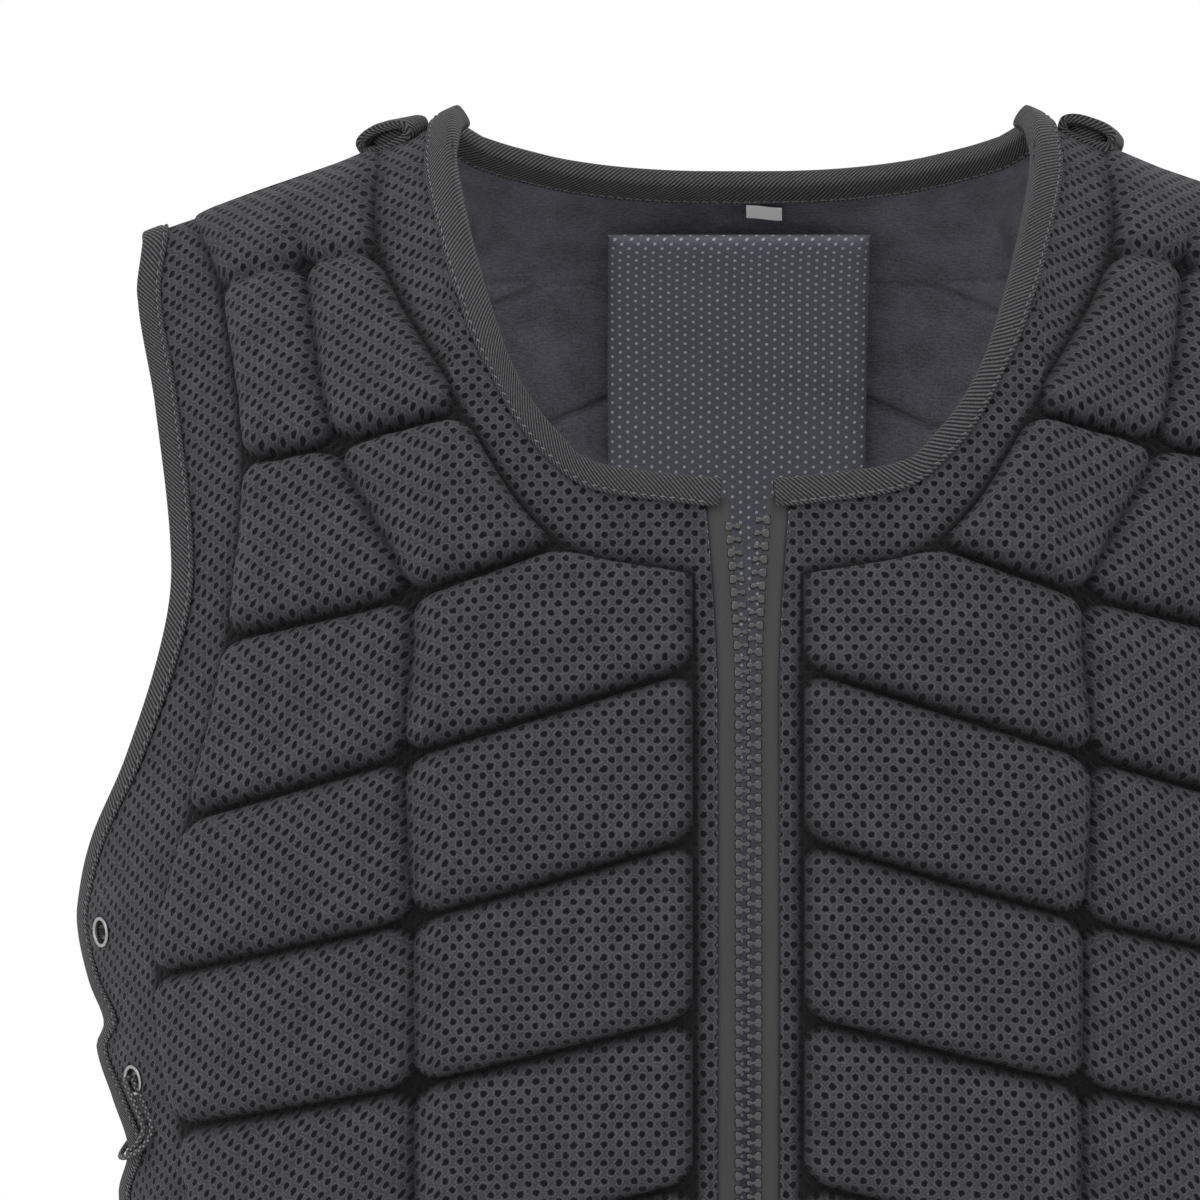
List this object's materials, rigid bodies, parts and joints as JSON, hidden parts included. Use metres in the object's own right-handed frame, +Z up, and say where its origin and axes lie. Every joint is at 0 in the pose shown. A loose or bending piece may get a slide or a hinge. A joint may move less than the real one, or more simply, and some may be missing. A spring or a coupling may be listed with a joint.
{
  "type": "equestrian body protector",
  "caption": "Sleeveless padded riding vest with foam blocks under mesh fabric, a front zip, laced sides and bound neck and armholes",
  "frame": {"origin": "midway between the two shoulders, level with the underside of the padding beside the neck, where the vest sits on the wearer", "axes": "+Z up, the front faces -Y, +X towards the left arm of the wearer"},
  "size_m": [0.4722, 0.2599, 0.59],
  "materials": {
    "mesh_fabric": "knitted spacer mesh with small open holes",
    "lining_fabric": "smooth bluish grey lining",
    "spine_fabric": "dark blue grey cloth with small light dots",
    "twill_binding": "woven twill tape",
    "zip_tape": "close woven tape",
    "moulded_plastic": "glossy black moulded plastic",
    "nickel": "nickel plated",
    "lace_cord": "braided polyester cord",
    "label": "bare white woven tag"
  },
  "bodies": {
    "root": {"front_panel_left": "mesh_fabric", "front_panel_right": "mesh_fabric", "back_panel": "mesh_fabric", "spine_pad": "spine_fabric", "size_label": "label", "neck_binding_front_left": "twill_binding", "neck_binding_front_right": "twill_binding", "neck_binding_back": "twill_binding", "armhole_binding_front_left": "twill_binding", "armhole_binding_front_right": "twill_binding", "armhole_binding_back_left": "twill_binding", "armhole_binding_back_right": "twill_binding", "hem_binding_front_left": "twill_binding", "hem_binding_front_right": "twill_binding", "hem_binding_back": "twill_binding", "zip_teeth_left": "moulded_plastic", "zip_tape_left": "zip_tape", "zip_teeth_right": "moulded_plastic", "zip_tape_right": "zip_tape", "zip_slider": "moulded_plastic", "zip_pull": "nickel", "zip_box": "moulded_plastic", "eyelet_front_left_1": "nickel", "eyelet_front_left_2": "nickel", "eyelet_front_left_3": "nickel", "eyelet_front_left_4": "nickel", "eyelet_front_left_5": "nickel", "eyelet_front_right_1": "nickel", "eyelet_front_right_2": "nickel", "eyelet_front_right_3": "nickel", "eyelet_front_right_4": "nickel", "eyelet_front_right_5": "nickel", "eyelet_back_left_1": "nickel", "eyelet_back_left_2": "nickel", "eyelet_back_left_3": "nickel", "eyelet_back_left_4": "nickel", "eyelet_back_left_5": "nickel", "eyelet_back_right_1": "nickel", "eyelet_back_right_2": "nickel", "eyelet_back_right_3": "nickel", "eyelet_back_right_4": "nickel", "eyelet_back_right_5": "nickel", "side_lace_left": "lace_cord", "shoulder_loop_left": "twill_binding", "side_lace_right": "lace_cord", "shoulder_loop_right": "twill_binding"}
  },
  "joints": []
}
